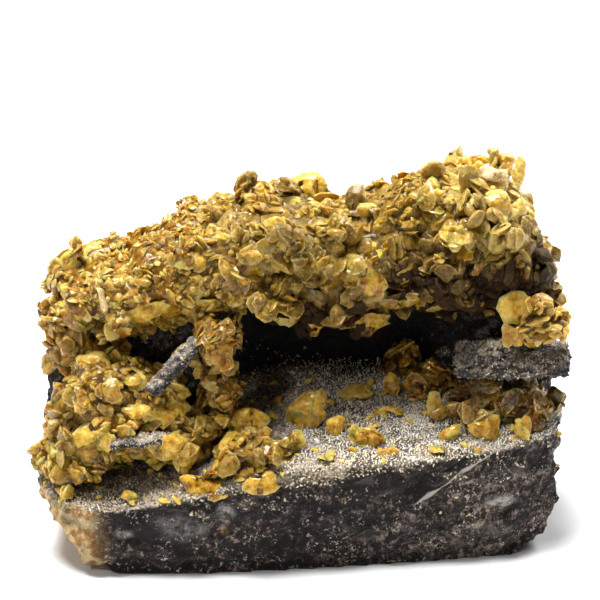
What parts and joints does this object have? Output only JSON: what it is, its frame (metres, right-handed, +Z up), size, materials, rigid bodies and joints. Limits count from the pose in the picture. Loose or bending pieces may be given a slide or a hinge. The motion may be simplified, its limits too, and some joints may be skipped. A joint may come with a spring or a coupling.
{
  "type": "siderite crystal specimen",
  "caption": "Block of dark quartz-veined rock with a hollow in its front, overgrown by lens-shaped honey-coloured siderite crystals; stands on a flat underside.",
  "frame": {"origin": "centre of the specimen's bounding box, on the flat underside that it stands on", "axes": "+X to the right along the block's length, +Y to the back, away from the hollow's mouth, +Z up"},
  "size_m": [0.0786, 0.0435, 0.0545],
  "materials": {
    "rock": "rough broken rock with white quartz veins and specks",
    "druse": "dark rock under a sparkling coat of tiny quartz crystals",
    "quartz": "milky quartz, glossy on its faces",
    "honey_siderite": "translucent, vitreous honey-brown crystals",
    "gold_siderite": "translucent, vitreous golden crystals",
    "amber_siderite": "translucent, vitreous amber-brown crystals",
    "rust_siderite": "dull, rust-stained brown crystals"
  },
  "bodies": {
    "root": {"matrix_rock": "rock", "drusy_quartz_bar": "druse", "drusy_quartz_slab": "druse", "embedded_rock_chip": "druse", "white_quartz_blade": "quartz", "top_quartz_knob": "quartz", "upper_siderite_crust": "honey_siderite", "left_siderite_cluster": "honey_siderite", "siderite_pillar": "amber_siderite", "front_siderite_cluster": "honey_siderite", "golden_siderite_cluster": "gold_siderite", "brown_siderite_cluster": "rust_siderite", "hollow_siderite_crust": "amber_siderite", "plateau_crystal_01": "gold_siderite", "plateau_crystal_02": "gold_siderite", "plateau_crystal_03": "gold_siderite", "plateau_crystal_04": "gold_siderite", "plateau_crystal_05": "gold_siderite", "plateau_crystal_06": "gold_siderite", "plateau_crystal_07": "gold_siderite", "plateau_crystal_08": "gold_siderite", "plateau_crystal_09": "gold_siderite", "plateau_crystal_10": "gold_siderite", "plateau_crystal_11": "gold_siderite", "plateau_crystal_12": "gold_siderite", "plateau_crystal_13": "gold_siderite", "plateau_crystal_14": "gold_siderite"}
  },
  "joints": []
}
